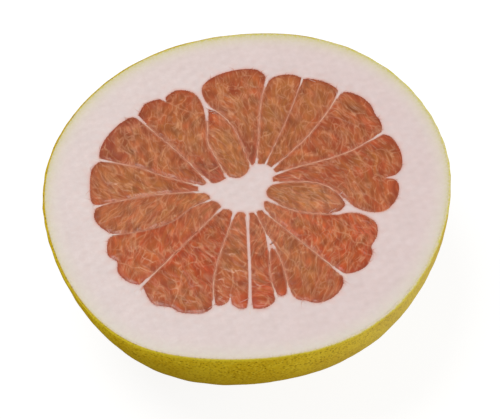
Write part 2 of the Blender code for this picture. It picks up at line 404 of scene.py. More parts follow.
def positions(piece):
    """Vertex positions in mm."""
    flat = np.empty(len(piece.data.vertices) * 3)
    piece.data.vertices.foreach_get("co", flat)
    return flat.reshape(-1, 3) / MM


def place(piece, points):
    """Moves the vertices to these positions, in mm."""
    piece.data.vertices.foreach_set("co", (points * MM).ravel())
    piece.data.update()


def stored(piece, name, size=1):
    """Reads back values stored on the vertices."""
    values = np.empty(len(piece.data.vertices) * size, np.float32)
    piece.data.attributes[name].data.foreach_get("value" if size == 1 else "vector", values)
    return values.astype(float).reshape(-1, size) if size > 1 else values.astype(float)


def keep_where(piece, wanted):
    """Deletes every face with an unwanted vertex, and corners where two faces only touch."""
    mesh = bmesh.new()
    mesh.from_mesh(piece.data)
    mesh.verts.ensure_lookup_table()
    unwanted = [face for face in mesh.faces if not all(wanted[v.index] for v in face.verts)]
    bmesh.ops.delete(mesh, geom=unwanted, context="FACES")
    for _ in range(4):
        pinched = {v.link_faces[0] for v in mesh.verts
                   if sum(edge.is_boundary for edge in v.link_edges) > 2}
        if not pinched:
            break
        bmesh.ops.delete(mesh, geom=list(pinched), context="FACES")
    mesh.to_mesh(piece.data)
    mesh.free()
    return positions(piece)


def close_below(piece, depth):
    """Draws the rim of an open sheet down by depth mm and fills it there."""
    select_only(piece)
    bpy.ops.object.mode_set(mode="EDIT")
    bpy.ops.mesh.select_mode(type="EDGE")
    bpy.ops.mesh.select_all(action="SELECT")
    bpy.ops.mesh.region_to_loop()
    bpy.ops.mesh.extrude_edges_move(TRANSFORM_OT_translate={"value": (0, 0, -depth * MM)})
    bpy.ops.transform.resize(value=(1, 1, 0))
    bpy.ops.mesh.fill(use_beauty=False)
    bpy.ops.mesh.select_all(action="SELECT")
    bpy.ops.mesh.normals_make_consistent(inside=False)
    bpy.ops.object.mode_set(mode="OBJECT")


def select_only(piece):
    """Makes this the one selected and active object."""
    bpy.ops.object.select_all(action="DESELECT")
    piece.select_set(True)
    bpy.context.view_layer.objects.active = piece


# %% [markdown]
# ## What every piece needs
# Each piece carries numbers and colours on its points, one material, smooth shading and
# the body that it rides on.

# %% Finishing a piece
def give(piece, name, values, kind="FLOAT"):
    """Stores one number or colour per vertex, for the material to use."""
    attribute = piece.data.attributes.new(name, kind, "POINT")
    if kind == "FLOAT_COLOR":
        values = np.hstack((values, np.ones((len(values), 1))))
        attribute.data.foreach_set("color", values.astype(np.float32).ravel())
    elif kind == "FLOAT_VECTOR":
        attribute.data.foreach_set("vector", values.astype(np.float32).ravel())
    else:
        attribute.data.foreach_set("value", values.astype(np.float32))


def finish_piece(piece, material, smooth=60):
    """Material, smooth shading, and the body that the piece goes with."""
    piece.data.materials.clear()
    piece.data.materials.append(material)
    select_only(piece)
    bpy.ops.object.shade_smooth_by_angle(angle=math.radians(smooth))
    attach(piece, "root")
    print(f"{piece.name}: {len(piece.data.polygons)} faces")


# %% [markdown]
# ## Materials
# The peel is waxy and dotted with oil glands; the pith is matt and spongy; the pulp
# is wet and slightly see-through. Slow colour changes come from the values stored on
# the meshes, and the finest grain from noise in the piece's own coordinates.

# %% Material helpers
def add(tree, kind, inputs=None, **settings):
    """Adds a node, with its settings, and sets or connects its inputs."""
    node = tree.nodes.new(kind)
    for key, value in settings.items():
        setattr(node, key, value)
    for key, value in (inputs or {}).items():
        if isinstance(value, bpy.types.NodeSocket):
            tree.links.new(value, node.inputs[key])
        else:
            node.inputs[key].default_value = value
    return node


def attribute(tree, name):
    """Values stored on the mesh's points."""
    return add(tree, "ShaderNodeAttribute", attribute_name=name)


def mix(tree, factor, first, second):
    """The first colour at factor 0, the second at 1."""
    node = add(tree, "ShaderNodeMix", {0: factor, 6: first, 7: second}, data_type="RGBA")
    return node.outputs[2]


def calc(tree, how, first, second=0.0, third=0.0):
    """Arithmetic on one to three values."""
    return add(tree, "ShaderNodeMath", {0: first, 1: second, 2: third}, operation=how).outputs[0]


def ramp(tree, value, low, high, start=0.0, end=1.0):
    """Goes softly from start to end while the value goes from low to high."""
    node = add(tree, "ShaderNodeMapRange",
               {"Value": value, "From Min": low, "From Max": high, "To Min": start, "To Max": end},
               interpolation_type="SMOOTHSTEP")
    return node.outputs[0]


def noise(tree, where, scale, detail=2.0):
    """Cloudy random values around 0.5."""
    node = add(tree, "ShaderNodeTexNoise", {"Vector": where, "Scale": scale, "Detail": detail})
    return node.outputs[0]


def new_material(name, roughness, subsurface, radius, specular):
    """A material that lets some light in: weight, and reach in mm for red, green and blue."""
    material = bpy.data.materials.new(name)
    material.use_nodes = True
    tree = material.node_tree
    shader = tree.nodes["Principled BSDF"]
    shader.inputs["Roughness"].default_value = roughness
    shader.inputs["Subsurface Weight"].default_value = subsurface
    shader.inputs["Subsurface Radius"].default_value = radius
    shader.inputs["Subsurface Scale"].default_value = MM
    shader.inputs["Specular IOR Level"].default_value = specular
    return material, tree, shader


def bump(tree, shader, height, strength, distance):
    """Makes the surface look raised where the height is larger; distance in metres."""
    node = add(tree, "ShaderNodeBump", {"Height": height, "Strength": strength,
                                        "Distance": distance})
    tree.links.new(node.outputs[0], shader.inputs["Normal"])


def rgba(colour):
    """A screen colour as a material takes it."""
    return (*linear(colour), 1)


# %% [markdown]
# ## Peel
# The skin is a dull olive yellow, darker in the pits over its oil glands and brighter
# between them. A paler grey patch at the front right is a painted sheen, the darkening
# near the table, deepest at the front left, is painted shade, and the pale yellow band
# along the top of the rim is partly a painted highlight. Small cells make the pits.
# Along the cut the glands' oil stains the white of the fruit.

# %% Peel material
def cut_edge_colour(tree, where, base):
    """The pale, speckled yellow that the peel's oil glands leave along the cut."""
    speck = calc(tree, "MULTIPLY_ADD", ramp(tree, noise(tree, where, 1000, 2), 0.35, 0.65), 0.5, 0.6)
    amount = calc(tree, "MULTIPLY", attribute(tree, "peel").outputs["Fac"], speck)
    return mix(tree, amount, base, rgba((206, 196, 84)))


peel_material, tree, shader = new_material("peel", 0.5, 0.0, (1, 1, 1), 0.0)
where = add(tree, "ShaderNodeTexCoord").outputs["Object"]
glands = add(tree, "ShaderNodeTexVoronoi", {"Vector": where, "Scale": 850.0}).outputs[0]
fine = noise(tree, where, 1000, 2)
patches = noise(tree, where, 60, 3)
pits = ramp(tree, glands, 0.5, 0.1)
skin = mix(tree, ramp(tree, patches, 0.35, 0.68), rgba((186, 151, 16)), rgba((198, 168, 28)))
skin = mix(tree, calc(tree, "MULTIPLY", pits, 0.8), skin, rgba((116, 88, 4)))
skin = mix(tree, ramp(tree, fine, 0.45, 0.72, 0.0, 0.7), skin, rgba((214, 188, 50)))
# Painted shade: the peel darker towards the table, deepest at the front left.
skin = mix(tree, attribute(tree, "low").outputs["Fac"], skin, rgba((136, 110, 22)))
# Painted sheen: a paler grey patch on the front right of the peel.
skin = mix(tree, attribute(tree, "painted_sheen").outputs["Fac"], skin, rgba((192, 176, 112)))
# A pale yellow band on the rounded top of the rim, strongest at the front: partly the peel's own
# brighter yellow at the cut, partly painted highlight.
edge = attribute(tree, "edge").outputs["Fac"]
skin = mix(tree, calc(tree, "MULTIPLY", edge, 0.85), skin, rgba((216, 194, 50)))
colour = mix(tree, attribute(tree, "cut").outputs["Fac"], skin,
             cut_edge_colour(tree, where, rgba((222, 207, 202))))
tree.links.new(colour, shader.inputs["Base Color"])
bump(tree, shader, calc(tree, "SUBTRACT", calc(tree, "MULTIPLY", fine, 0.5), pits), 0.7, 0.0002)

# %% [markdown]
# ## Pith
# Pith is matt sponge, off-white with a little pink. Its slow colour changes are on the
# mesh, so the material only adds a fine grain, faint clouds and the stain along the peel.

# %% Pith material
pith_material, tree, shader = new_material("pith", 0.62, 0.12, (2.0, 1.2, 1.0), 0.3)
where = add(tree, "ShaderNodeTexCoord").outputs["Object"]
tint = attribute(tree, "tint").outputs["Color"]
grain = noise(tree, where, 900, 3)
cloud = noise(tree, where, 160, 3)
colour = mix(tree, ramp(tree, grain, 0.3, 0.7, 0.0, 0.3), tint, rgba((214, 193, 188)))
colour = mix(tree, ramp(tree, cloud, 0.35, 0.7, 0.0, 0.2), colour, rgba((228, 213, 211)))
colour = cut_edge_colour(tree, where, colour)
tree.links.new(colour, shader.inputs["Base Color"])
bump(tree, shader, grain, 0.2, 0.0001)

# %% [markdown]
# ## Pulp
# Pulp is wet and slightly see-through, with threads of sac skin that are finer than the
# mesh. They are noise squeezed across and stretched along the grain of each segment, in
# three layers at small angles to each other, and they also raise the surface a little.

# %% Pulp material
pulp_material, tree, shader = new_material("pulp", 0.26, 0.06, (2.0, 0.7, 0.4), 0.35)
tint = attribute(tree, "tint").outputs["Color"]
flow = attribute(tree, "flow").outputs["Vector"]
colour = tint
height = None
# Fine threads: squeeze across and along the flow, slant, width, strength
for squeeze, slant, width, strength in (((1.0, 0.09, 1), 0.12, 0.03, 0.34),
                                        ((0.9, 0.11, 1), -0.25, 0.026, 0.28),
                                        ((2.0, 0.12, 1), 0.0, 0.05, 0.3)):
    turned = add(tree, "ShaderNodeVectorRotate", {"Vector": flow, "Angle": slant},
                 rotation_type="Z_AXIS").outputs[0]
    stretched = add(tree, "ShaderNodeVectorMath", {0: turned, 1: squeeze},
                    operation="MULTIPLY").outputs[0]
    field = noise(tree, stretched, 0.8, 0.0)
    thread = ramp(tree, calc(tree, "ABSOLUTE", calc(tree, "SUBTRACT", field, 0.5)), width, 0.0)
    shown = ramp(tree, noise(tree, turned, 0.22 + 0.1 * squeeze[0], 1), 0.47, 0.6)
    thread = calc(tree, "MULTIPLY", thread, shown)
    colour = mix(tree, calc(tree, "MULTIPLY", thread, strength), colour, rgba((222, 158, 112)))
    height = thread if height is None else calc(tree, "ADD", height, thread)
streak = add(tree, "ShaderNodeVectorMath", {0: flow, 1: (1.0, 0.2, 1)},
             operation="MULTIPLY").outputs[0]
colour = mix(tree, ramp(tree, noise(tree, streak, 0.9, 3), 0.42, 0.68, 0.0, 0.45), colour,
             rgba((140, 62, 30)))
tree.links.new(colour, shader.inputs["Base Color"])
bump(tree, shader, height, 0.5, 0.0001)

# %% [markdown]
# ## Membrane
# The skin between two segments is paler and drier than the pulp. Its colour is on the
# mesh, from pink in the middle to pith white at its ends, with fine pale flecks.

# %% Membrane material
skin_material, tree, shader = new_material("membrane", 0.5, 0.1, (1.5, 0.8, 0.6), 0.15)
where = add(tree, "ShaderNodeTexCoord").outputs["Object"]
tint = attribute(tree, "tint").outputs["Color"]
colour = mix(tree, ramp(tree, noise(tree, where, 700, 3), 0.4, 0.7, 0.0, 0.25), tint,
             rgba((236, 204, 184)))
tree.links.new(colour, shader.inputs["Base Color"])

# %% [markdown]
# ## The rind
# The outer skin is the lower half of a sphere with many rings, flattened to the
# fruit's own depth and pushed in and out by slow waves. A few rings above the middle
# are folded inwards to make the narrow cut edge of the peel; under it the body is solid.

# %% Rind sizes
RINGS = 200
SIDES = 720
PEEL_WIDTH = 1.05
# Rows of the cut edge: how far in from the outer edge and how far below the cut, in mm
EDGE_ROWS = ((0.0, 0.85), (0.07, 0.42), (0.2, 0.18), (0.42, 0.06), (0.7, 0.01), (1.0, 0.02),
             (1.3, 0.12), (1.3, 2.2))


def lip(angle):
    """The front of the rim stands out a little beyond the smooth outline, in mm."""
    front = smooth_step(-np.sin(angle), 0.15, 0.75)
    bulge = np.exp(-((angle + math.radians(125)) / math.radians(13)) ** 2)
    return 0.5 * front + 0.7 * bulge


def peel_share(rim, angle):
    """How yellow the cut face is, by distance from the edge: widest at the back."""
    width = 1.25 + 0.7 * np.sin(angle)
    return np.clip((1.2 + 0.2 * np.sin(angle)) * np.exp(-rim / width), 0, 1)


def sphere_rows(piece):
    """Latitude, row above the middle and direction of each point of a unit sphere."""
    x, y, z = positions(piece).T * MM
    latitude = np.arcsin(np.clip(z, -1, 1))
    return latitude, np.rint(latitude * RINGS / math.pi).astype(int), np.arctan2(y, x)


# %% [markdown]
# ## Shaping the rind
# Every point of the half sphere keeps its direction. Below the cut it moves to the
# fruit's own outline and depth, and the rows above the middle fold in as the cut edge.
# Soft lumps a few millimetres wide keep the outside from looking turned on a lathe.

# %% Rind shape
bpy.ops.mesh.primitive_uv_sphere_add(segments=SIDES, ring_count=RINGS, radius=1)
rind = bpy.context.object
rind.name = "rind"
latitude, row, angle = sphere_rows(rind)
keep_where(rind, row < len(EDGE_ROWS))
latitude, row, angle = sphere_rows(rind)

level = np.cos(latitude)
depth = np.sin(np.maximum(-latitude, 0))
swell = (BELLY_SWELL + waves(BELLY_WAVES, angle)) * BELLY_SHARE * level * depth
reach = (CUT_RADIUS + waves(OUTLINE_WAVES, angle) + swell) * level
z = HEIGHT - UNDERSIDE_DEPTH * depth
for index, (inset, drop) in enumerate(EDGE_ROWS):
    here = row == index
    reach[here] = CUT_RADIUS + waves(OUTLINE_WAVES, angle[here]) - inset
    z[here] = HEIGHT - drop
reach += lip(angle) * np.exp(-depth * UNDERSIDE_DEPTH / 5)
points = np.stack((reach * np.cos(angle), reach * np.sin(angle), np.maximum(z, 0)), axis=1)
outside = row <= 2
lump = 0.07 * ripple(points, 8.0, 3) + 0.012 * ripple(points, 2.6, 4)
fade = outside * np.clip(points[:, 2] / 3, 0, 1)
points[:, :2] *= (1 + (lump * fade / np.maximum(reach, 1)))[:, None]
place(rind, points)

# %% [markdown]
# ## Closing and colouring the rind
# The last row is filled with one face, so the rind is a closed body like the real half.
# The knife pulls the skin over the edge more on one side than on the other, so the skin
# colour reaches further in there, and the cut face turns yellow from the peel inwards.

# %% Rind finish
select_only(rind)
bpy.ops.object.mode_set(mode="EDIT")
bpy.ops.mesh.select_mode(type="EDGE")
bpy.ops.mesh.select_all(action="SELECT")
bpy.ops.mesh.region_to_loop()
bpy.ops.mesh.edge_face_add()
bpy.ops.mesh.select_all(action="SELECT")
bpy.ops.mesh.normals_make_consistent(inside=False)
bpy.ops.object.mode_set(mode="OBJECT")
# The rim band: partly the peel's brighter yellow at the cut, partly painted highlight, strongest at
# the front.
bright = 0.15 + 0.85 * smooth_step(-np.sin(angle), 0.0, 0.6)
give(rind, "edge", bright * smooth_step(points[:, 2], HEIGHT - 1.5, HEIGHT - 0.5) * (row <= 2))
inset = np.array([rows[0] for rows in EDGE_ROWS])[np.maximum(row, 0)]
rolled = 0.5 - 0.48 * np.cos(angle + 0.4)
give(rind, "cut", smooth_step(inset, rolled - 0.2, rolled + 0.12) * (row >= 1))
give(rind, "peel", peel_share(inset, angle))
down = HEIGHT - points[:, 2]
# Painted sheen: the reflection of the bright surroundings on the front right of the peel.
give(rind, "painted_sheen", 0.45 * np.exp(-((angle + math.radians(38)) / math.radians(28)) ** 2))
# Painted shade: darker towards the table, and more so at the front left.
shaded = 0.4 * np.exp(-((angle + math.radians(125)) / math.radians(28)) ** 2)
give(rind, "low", 0.62 * smooth_step(down, 4, 36) + shaded * smooth_step(down, 2, 12))
finish_piece(rind, peel_material)
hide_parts("pomelo_half")

# %% [markdown]
# ## The pith and core
# Pith is the thick white sponge between peel and pulp, and the core is the same
# stuff in the middle. The knife leaves both flat, with slightly rounded edges where
# they meet the pulp, a blush beside it and a yellow, speckled margin under the peel.

# %% Pith sheet
PITH_CELL = 0.4
PITH_REACH = 82
PITH_DEPTH = 1.7
NARROWEST_PITH = 1.0
pith, flat = flat_grid("pith", (-PITH_REACH, -PITH_REACH), (PITH_REACH, PITH_REACH), PITH_CELL)
radius = np.hypot(*flat.T)
angle = np.arctan2(flat[:, 1], flat[:, 0])
rim = CUT_RADIUS + waves(OUTLINE_WAVES, angle) + lip(angle) - PEEL_WIDTH - radius


def measure_outlines(points):
    """Distances to the nearest and second nearest segment, negative inside, and the nearest place."""
    first = np.full(len(points), 30.0)
    second = np.full(len(points), 30.0)
    place_on = points.copy()
    for outline in OUTLINES:
        near = np.all((points > outline.min(0) - 20) & (points < outline.max(0) + 20), axis=1)
        gap, foot = line_distance(points[near], outline)
        gap[is_inside(points[near], outline)] *= -1
        old = first[near]
        closer = gap < old
        second[near] = np.where(closer, old, np.minimum(second[near], gap))
        first[near] = np.where(closer, gap, old)
        spots = place_on[near]
        spots[closer] = foot[closer]
        place_on[near] = spots
    return first, second, place_on


gap, next_gap, foot = measure_outlines(flat)
wanted = (gap > -PITH_CELL / 2) & (rim > -PITH_CELL / 2) & (gap + next_gap > NARROWEST_PITH)
give(pith, "gap", gap)
give(pith, "rim", rim)
give(pith, "foot", np.hstack((foot, np.zeros((len(foot), 1)))), "FLOAT_VECTOR")
points = keep_where(pith, wanted)

gap = stored(pith, "gap")
rim = stored(pith, "rim")
foot = stored(pith, "foot", 3)[:, :2]
at_pulp = gap < PITH_CELL / 2
points[at_pulp, :2] = foot[at_pulp]
gap = np.maximum(gap * ~at_pulp, 0)
at_rim = rim < PITH_CELL / 2
stretch = 1 + rim[at_rim] / np.hypot(*points[at_rim, :2].T)
points[at_rim, :2] *= stretch[:, None]
rim = np.maximum(rim * ~at_rim, 0)
flat = points[:, :2]
relief = 0.022 * ripple(flat, 11, 11) + 0.006 * ripple(flat, 2.6, 12)
relief *= smooth_step(rim, 0, 2)
points[:, 2] = HEIGHT - 0.03 + relief - 0.12 * (1 - smooth_step(gap, 0, 0.8)) ** 2
place(pith, points)

# %% [markdown]
# ## The pith's colours
# The sponge turns a little darker and pinker towards +X, which is painted shade, and
# every segment has a pink halo with broken blushes further out. Towards the peel it
# turns greenish white, then yellow.

# %% Pith colours
warm = 0.5 + 0.25 * ripple(flat, 14, 13)[:, None]
# Painted shade: the sponge a little darker and pinker towards +X.
side = smooth_step(flat[:, 0], -70, 70)[:, None]
tint = blend(linear((227, 211, 207)), (223, 203, 200), side)
tint = tint * (1 - 0.035 * warm) + 0.012 * ripple(flat, 3.5, 14)[:, None]
halo = np.exp(-(gap / 0.6) ** 1.2)[:, None]
tint = blend(tint, (216, 142, 116), 0.8 * halo)
blush = (np.exp(-gap / 2.8) * np.clip(ripple(flat, 4.5, 15), 0, 1.5) * 0.32)[:, None]
tint = blend(tint, (224, 180, 170), blush)
tint = blend(tint, (222, 214, 198), 0.75 * smooth_step(rim, 8, 0)[:, None])
give(pith, "tint", np.clip(tint, 0, 1), "FLOAT_COLOR")
give(pith, "peel", peel_share(rim + PEEL_WIDTH, np.arctan2(flat[:, 1], flat[:, 0])))
close_below(pith, PITH_DEPTH)
for name in ("gap", "rim", "foot"):
    pith.data.attributes.remove(pith.data.attributes[name])
finish_piece(pith, pith_material)

# %% [markdown]
# ## The pulp
# Each segment is packed with juice sacs, long drops that hang from the rind side and
# point to the core. The knife opens them, so the face shows their outlines as pale
# curved threads. Here every segment is a fine grid cut to its outline and swollen a
# little, with its own sacs, drawn as stretched cells that follow the segment.

# %% Tones and lean of the segments
PULP_TONES = {
    "brick": (176, 92, 58), "amber": (180, 108, 70), "olive": (177, 113, 70),
    "gold": (187, 123, 80), "coral": (192, 94, 56), "blush": (188, 116, 87),
    "plum": (163, 90, 70), "tan": (185, 112, 76), "ember": (188, 78, 40),
}
# Tones of segments 1 to 18 near the core, in the middle and near the rind
SEGMENT_TONES = (
    "brick brick brick", "amber brick brick", "olive amber amber", "olive olive amber",
    "plum amber brick", "olive gold coral", "plum amber brick", "brick amber plum",
    "brick olive amber", "gold tan tan", "blush coral coral", "brick ember brick",
    "blush tan coral", "blush brick ember", "brick brick coral", "blush amber brick",
    "blush coral ember", "olive gold blush",
)
# How far the sacs of segments 1 to 18 lean from the straight line to the axis, in
# degrees anticlockwise: near the core, then near the rind
SLANTS = (
    (-45, -75), (60, 85), (35, 35), (40, 15), (20, 10), (10, 10), (-35, -30), (-50, -40),
    (-45, -40), (55, 45), (50, 50), (60, 45), (50, 40), (-40, 60), (-30, -30), (-45, -40),
    (-45, -40), (-30, -30),
)

# %% [markdown]
# ## Folds and creases
# Some segments have a pale fold where their skin turns inwards, often from a notch in
# the outline, and fainter creases where sacs lie against each other. Each is a line
# through a few points, given by distance and direction, with a slight waver.

# %% Folds and creases
FOLDS = (
    ((30, 38.0), (27.5, 30), (26, 23)),
    ((56.0, 119.8), (50, 117.5), (44.5, 113.5), (38.5, 113)),
    ((59.5, 207.4), (57, 211), (54, 216), (52, 221)),
    ((61.8, 237.0), (57, 236.5), (51, 235), (45, 231.5)),
    ((53, 257.6), (47, 257.8), (42, 257.3), (38, 256.5)),
    ((57, 322.4), (51, 321), (45.5, 323), (40, 321)),
    ((24, 285.5), (31, 287.5), (38, 290.5), (45, 292)),
    ((11, 318), (16, 320), (22, 321)),
)
CREASES = (
    ((50.5, 2), (47, 8), (46, 15)), ((38, 9.5), (38.5, 14)), ((42, 42), (39, 50)),
    ((33, 64), (46, 69), (55, 71.5)), ((53, 96), (50, 96.5)), ((39.5, 82.5), (45, 83)),
    ((46, 121), (41, 123), (36, 125)), ((39, 138), (37.5, 146), (33, 152), (29, 158)),
    ((48, 158.5), (45, 160), (41, 161.5)), ((25, 211), (26, 215), (27.5, 219.5)),
    ((39.5, 216), (41, 220)), ((31, 196.5), (32, 201.5)), ((37, 224), (36.5, 231), (39.5, 240)),
    ((35, 236), (37, 244)), ((27, 248), (28.5, 251.5)), ((25.5, 257), (28, 265)),
    ((40, 269.5), (44.5, 276)), ((40.5, 286), (37, 290), (33, 295)), ((29.5, 279.5), (26, 282.5)),
    ((39.5, 304.5), (37.5, 306.5), (36, 309)), ((36, 318), (33.5, 321), (32, 325)),
    ((46, 319.5), (43.5, 326), (40, 330.5)), ((28.5, 339), (25.7, 343.5)), ((19.5, 345), (17, 352)),
)


def drawn_line(points):
    """A smooth line through the points, with a slight waver."""
    line = smooth_line(points)
    return line + 0.22 * np.stack((ripple(line, 5, 31), ripple(line, 5, 32)), axis=1)


fold_lines = [(drawn_line(fold), 0.85) for fold in FOLDS]
fold_lines += [(drawn_line(crease), 0.7) for crease in CREASES]

# %% [markdown]
# ## Juice sacs
# Packed drops press each other into long cells that lean across the segment. Each cell
# grows from a random middle with its own length, width and lean, and every point belongs
# to the nearest one, measured in that cell's own stretched distance.

# %% Juice sacs
def lean(radius, outline, slants):
    """How far the sacs lean at this distance from the axis, in radians."""
    reach = np.hypot(*outline.T)
    share = smooth_step((radius - reach.min()) / np.ptp(reach), 0.2, 0.9)
    return np.radians(slants[0] + (slants[1] - slants[0]) * share)


def sac_cells(points, outline, slants, seed, long_range, wide_range, crowd):
    """Stretched cells that lean like the sacs: each point's share across its cell, its
    distance from the cell's border in mm, and its cell's random number."""
    rng = np.random.default_rng(seed)
    low, high = outline.min(0), outline.max(0)
    area = np.prod(high - low)
    count = int(area * crowd / (np.mean(long_range) * np.mean(wide_range)))
    seeds = rng.uniform(low, high, (count, 2))
    first = np.full(len(points), 1e9)
    second = np.full(len(points), 1e9)
    number = np.zeros(len(points))
    width = np.ones(len(points))
    for middle in seeds:
        angle = math.atan2(middle[1], middle[0]) + rng.normal(0, 0.2)
        angle += lean(math.hypot(*middle), outline, slants)
        long, wide = rng.uniform(*long_range) / 2, rng.uniform(*wide_range) / 2
        bend = rng.normal(0, 0.05)
        value = rng.uniform(-1, 1)
        offset = points - middle
        along = offset @ (math.cos(angle), math.sin(angle))
        across = offset @ (-math.sin(angle), math.cos(angle)) + bend * along ** 2
        size = np.sqrt((along / long) ** 2 + (across / wide) ** 2)
        closer = size < first
        second = np.where(closer, first, np.minimum(second, size))
        first = np.where(closer, size, first)
        number[closer] = value
        width[closer] = wide
    return first, (second - first) * width * 0.7, number


# %% [markdown]
# ## Loose fibres
# The knife drags the skins of opened sacs into pale fibres, some in small fans and some
# alone. Each is a short curved line that is strongest in its middle. They are kept as a
# value on the points, because thousands of real hairs would weigh more than they show.

# %% Loose fibres
PULP_CELL = 0.26


def fibre_fans(points, outline, slants, seed):
    """Pale fibres as the knife leaves them: loose fans and single strands along the segment."""
    rng = np.random.default_rng(seed)
    inside = points[is_inside(points, outline)]
    area = len(inside) * PULP_CELL ** 2
    drawn = np.zeros(len(points))
    share = np.linspace(0, 1, 7)
    for count, spread in [(6, 0.5)] * int(area / 110) + [(1, 0.0)] * int(area / 26):
        root = inside[rng.integers(len(inside))]
        heading = math.atan2(root[1], root[0]) + rng.choice((0, math.pi)) + rng.normal(0, 0.17)
        heading += lean(math.hypot(*root), outline, slants)
        bend = rng.normal(0, 0.6)
        for number in range(count):
            length = rng.uniform(4, 14)
            aside = spread * (number / max(count - 1, 1) - 0.5) + rng.normal(0, 0.08)
            turn = heading + aside + (bend + rng.normal(0, 0.25)) * share
            step = np.stack((np.cos(turn), np.sin(turn)), axis=1) * length / 6
            start = root + rng.normal(0, 0.6, 2)
            line = start + np.cumsum(step, axis=0)
            near = np.all((points > line.min(0) - 0.8) & (points < line.max(0) + 0.8), axis=1)
            gap, foot = line_distance(points[near], line, closed=False)
            along = np.clip(np.hypot(*(foot - line[0]).T) / length, 0, 1)
            taper = np.sqrt(np.clip(4 * along * (1 - along) + 0.1, 0, 1))
            strength = rng.uniform(0.2, 0.8) * np.exp(-(gap / rng.uniform(0.18, 0.34)) ** 2) * taper
            drawn[near] = np.maximum(drawn[near], strength)
    return drawn


# %% [markdown]
# ## One segment's grid and grain
# The grid reaches a little under the membranes, so no gap shows beside them. The grain
# is a second set of coordinates, across and along the sacs, that turns with their lean.
# The material draws its threads in it, so they follow each segment by themselves.

# %% Segment grid and grain
UNDER_MEMBRANE = 0.45
MID_RADIUS = 34


def segment_grid(outline, name):
    """The grid of one segment, its points, and how deep each lies inside the outline."""
    segment, flat = flat_grid(name, outline.min(0) - 1, outline.max(0) + 1, PULP_CELL)
    gap, _ = line_distance(flat, outline)
    gap[~is_inside(flat, outline)] *= -1
    give(segment, "gap", gap)
    points = keep_where(segment, gap > -UNDER_MEMBRANE)
    gap = stored(segment, "gap")
    segment.data.attributes.remove(segment.data.attributes["gap"])
    return segment, points, gap


def segment_flow(flat, outline, slants, index):
    """Coordinates across and along the sacs, in mm, and a number for the segment."""
    seed = 100 * index
    radius = np.hypot(*flat.T)
    centre = math.atan2(*np.mean(outline, axis=0)[::-1])
    swing = (np.arctan2(flat[:, 1], flat[:, 0]) - centre + math.pi) % (2 * math.pi) - math.pi
    turn = lean(radius, outline, slants)
    around, outward = swing * MID_RADIUS, radius - radius.mean()
    across = around * np.cos(turn) - outward * np.sin(turn) + 0.8 * ripple(flat, 24, seed + 1)
    along = around * np.sin(turn) + outward * np.cos(turn)
    return np.stack((across + 0.3 * ripple(flat, 8, seed + 2), along,
                     np.full(len(flat), 7.0 * index)), axis=1)


# %% [markdown]
# ## One segment's colours
# The colour goes from the core's tone to the rind's, with olive where juice is thick,
# red where it is thin, and darker round the border. Pale threads lie on top:
# borders of sacs, fibres, folds and creases. The rind end is darkened with painted shade.

# %% Segment colours
def segment_ground(flat, flow, gap, share, tones, number, grain, seed):
    """The segment's colour without its threads; share runs from core to rind."""
    inner, middle, outer = (linear(PULP_TONES[tone]) for tone in tones.split())
    tint = inner + (middle - inner) * smooth_step(share, 0.1, 0.5)
    tint = tint + (outer - middle) * smooth_step(share, 0.55, 0.92)
    cloud = 0.6 * ripple(flow[:, :2] * (1, 0.45), 4.5, seed + 5) + 0.9 * number
    olive = np.clip(0.32 + 0.34 * cloud, 0, 1)[:, None] * smooth_step(gap, 0.5, 4)[:, None]
    tint = blend(tint, (176, 122, 62), 0.5 * olive)
    tint = blend(tint, (176, 72, 40), 0.5 * np.clip(-0.1 - 0.45 * cloud, 0, 1)[:, None])
    tint = blend(tint, (166, 82, 62), 0.5 * np.exp(-np.maximum(gap, 0) / 1.3)[:, None])
    blotch = ripple(flow[:, :2] * (1, 0.6), 3.6, seed + 6) + 0.7 * ripple(flat, 9, seed + 12)
    tint = tint * (1 + 0.09 * grain + 0.085 * blotch)[:, None]
    return tint * (0.93, 0.76, 0.57)


def segment_threads(flat, outline, border, seam, fibres, seed):
    """How strongly a pale thread shows at each point."""
    seen = smooth_step(ripple(flat, 5, seed + 7), -0.6, 0.7)
    thread = np.exp(-(border / 0.20) ** 2) * (0.25 + 0.6 * seen)
    seams = np.exp(-(seam / 0.2) ** 2) * smooth_step(ripple(flat, 6, seed + 8), -0.2, 1.0)
    thread = np.maximum(np.maximum(thread * 0.95, seams * 0.55), fibres * 0.8)
    for line, strength in fold_lines:
        if is_inside(line[len(line) // 2][None], outline)[0]:
            near = line_distance(flat, line, closed=False)[0]
            thread = np.maximum(thread, strength * np.exp(-(near / 0.28) ** 2))
    return thread


# %% [markdown]
# ## The eighteen segments
# Large sacs swell the surface and small ones roughen it, and the threads stand a hair
# higher. The swelling fades out at the border, where the pulp lies below the membranes.

